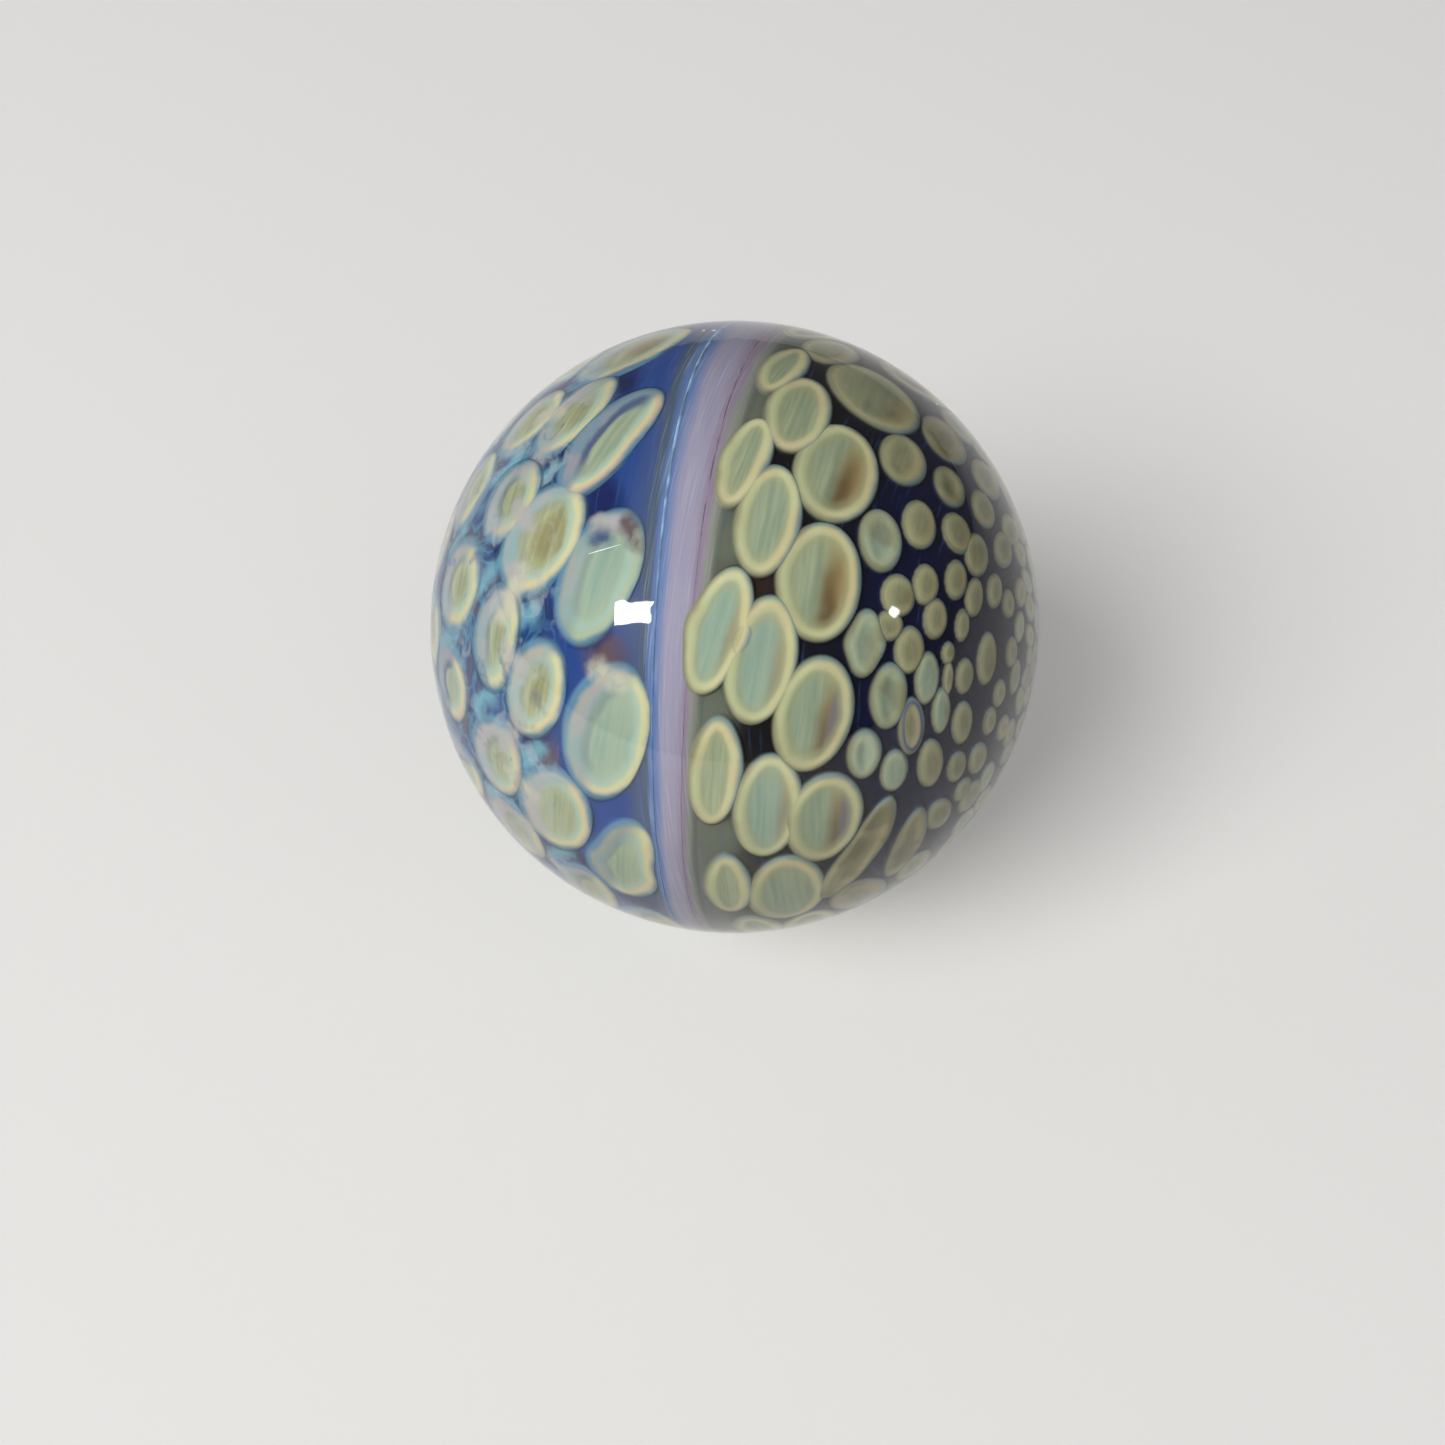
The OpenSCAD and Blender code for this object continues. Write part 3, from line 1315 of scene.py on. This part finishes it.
# The drawn-out bubble lies closest under the surface.
clear_selection()
ends = [outward(*place) * DRAWN_DEPTH * RADIUS for place in (DRAWN_FROM, DRAWN_TO)]
bpy.ops.mesh.primitive_ico_sphere_add(subdivisions=3, radius=1, location=(0, 0, 0))
hair = bpy.context.object
half_thick = DRAWN_HALF_THICK / 1000
hair.scale = ((ends[1] - ends[0]).length / 2, half_thick, half_thick)
hair.rotation_euler = (ends[1] - ends[0]).to_track_quat("X", "Z").to_euler()
hair.location = (ends[0] + ends[1]) / 2
bpy.ops.object.transform_apply(location=True, rotation=True, scale=True)
bubbles.append(hair)

clear_selection()
for bubble in bubbles:
    bubble.select_set(True)
bpy.context.view_layer.objects.active = bubbles[0]
bpy.ops.object.join()
finish_piece(bpy.context.object, "air_bubbles", glass_of("air_bubble", air_glass))

# %% [markdown]
# ## Clear skin
# The CAD ball becomes clear glass with a very slight waviness, as fire-polished glass has. A
# lamp's light has to get in to reach the dots. Real glass bends it in, which takes a path tracer
# very long to find, so the skin lets shadow rays straight through.

# %% Clear glass
CLEAR_GLASS = {
    "Base Color": (1, 1, 1, 1),
    "Roughness": 0.045,
    "Specular IOR Level": 0.5,
    "IOR": 1.47,
    "Transmission Weight": 1.0,
}


def clear_glass():
    """Clear glass that lets lamps shine through it."""
    material, shader = new_material("clear_skin_glass")
    for key, value in CLEAR_GLASS.items():
        feed(shader.inputs[key], value)
    wave = clouds(object_place(), 130.0, 1.0)
    bump = node("ShaderNodeBump", (("Height", wave), ("Strength", 0.2), ("Distance", 0.0001)))
    feed(shader.inputs["Normal"], bump.outputs["Normal"])
    shadow = node("ShaderNodeLightPath").outputs["Is Shadow Ray"]
    open_way = node("ShaderNodeBsdfTransparent").outputs["BSDF"]
    both = node("ShaderNodeMixShader", ((0, shadow), (1, shader.outputs["BSDF"]), (2, open_way)))
    feed(Bench.tree.nodes["Material Output"].inputs["Surface"], both.outputs[0])
    return material


skin.data.materials.clear()
skin.data.materials.append(clear_glass())

# %% [markdown]
# ## Floor, lamps and world
# A plain pale floor, one soft main lamp from the front left, a weaker one from the right and an
# even grey world. The main lamp is too large to give the small window glint that glass shows, so
# it is hidden from reflections and a small bright lamp is there for them only.

# %% Floor
FLOOR_GLOW = 0.18
clear_selection()
bpy.ops.mesh.primitive_plane_add(size=6, location=(0, 0, FLOOR_HEIGHT))
floor = bpy.context.object
floor.name = "floor"
floor_paint, floor_shader = new_material("floor_paint")
rays = node("ShaderNodeLightPath").outputs
seen = rays["Is Camera Ray"]
for kind in ("Is Glossy Ray", "Is Transmission Ray"):
    seen = calc("MAXIMUM", seen, rays[kind])
feed(floor_shader.inputs["Base Color"], linear(238, 236, 232))
feed(floor_shader.inputs["Roughness"], 0.7)
feed(floor_shader.inputs["Emission Strength"], times(seen, FLOOR_GLOW))
feed(floor_shader.inputs["Emission Color"], (1, 0.99, 0.97, 1))
floor.data.materials.append(floor_paint)


# %% Lamps
def lamp(name, azimuth, elevation, distance, width, height, power, roll=0):
    """An area lamp that looks at the marble. Azimuth 0 is in front, and 90 on the right."""
    turn, rise = math.radians(azimuth), math.radians(elevation)
    level = math.cos(rise)
    way = Vector((math.sin(turn) * level, -math.cos(turn) * level, math.sin(rise)))
    light = bpy.data.lights.new(name, "AREA")
    light.shape = "RECTANGLE"
    light.size = width
    light.size_y = height
    light.energy = power
    stand = bpy.data.objects.new(name, light)
    stand.location = way * distance
    facing = way.to_track_quat("Z", "Y").to_matrix()
    stand.rotation_euler = (facing @ Matrix.Rotation(math.radians(roll), 3, "Z")).to_euler()
    bpy.context.scene.collection.objects.link(stand)
    return stand


main_lamp = lamp("main_lamp", -34, 46, 0.9, 0.5, 0.5, 5.9)
main_lamp.visible_glossy = False
side_lamp = lamp("side_lamp", 60, 40, 1.0, 0.8, 0.8, 0.5)
side_lamp.visible_glossy = False
window = lamp("window", -37.2, 40.9, 0.6, 0.145, 0.070, 1.5, roll=38)
window.visible_diffuse = False
spark = lamp("spark", 86.4, 26.6, 0.6, 0.03, 0.03, 0.08)
spark.visible_diffuse = False

world = bpy.data.worlds.new("studio")
world.use_nodes = True
bpy.context.scene.world = world
world.node_tree.nodes["Background"].inputs["Color"].default_value = (0.17, 0.17, 0.18, 1)
world.node_tree.nodes["Background"].inputs["Strength"].default_value = 1.0

# %% [markdown]
# ## Camera
# The camera looks down at the marble from about 50 degrees above the floor, turned a little to
# the right, and holds it right of and above the middle of a square picture.

# %% Camera
CAMERA_AZIMUTH = math.radians(14.8)
CAMERA_RISE = math.radians(50.43)
CAMERA_DISTANCE = 0.13838
AIM_RIGHT = 0.0055
AIM_UP = 0.0425
CAMERA_LENS = 55
CAMERA_SENSOR = 36

side = Vector((math.cos(CAMERA_AZIMUTH), math.sin(CAMERA_AZIMUTH), 0))
back = Vector((
    math.sin(CAMERA_AZIMUTH) * math.cos(CAMERA_RISE),
    -math.cos(CAMERA_AZIMUTH) * math.cos(CAMERA_RISE),
    math.sin(CAMERA_RISE),
))
top = back.cross(side)
sight = (side * AIM_RIGHT + top * AIM_UP - back).normalized()
camera_data = bpy.data.cameras.new("camera")
camera_data.lens = CAMERA_LENS
camera_data.sensor_width = CAMERA_SENSOR
camera_data.clip_start = 0.005
camera = bpy.data.objects.new("camera", camera_data)
facing = Matrix((side, top, back)).transposed().to_4x4()
camera.matrix_world = Matrix.Translation(-sight * CAMERA_DISTANCE) @ facing
bpy.context.scene.collection.objects.link(camera)
bpy.context.scene.camera = camera
bpy.context.scene.view_settings.view_transform = "Standard"

# %% Finish
bpy.context.view_layer.update()
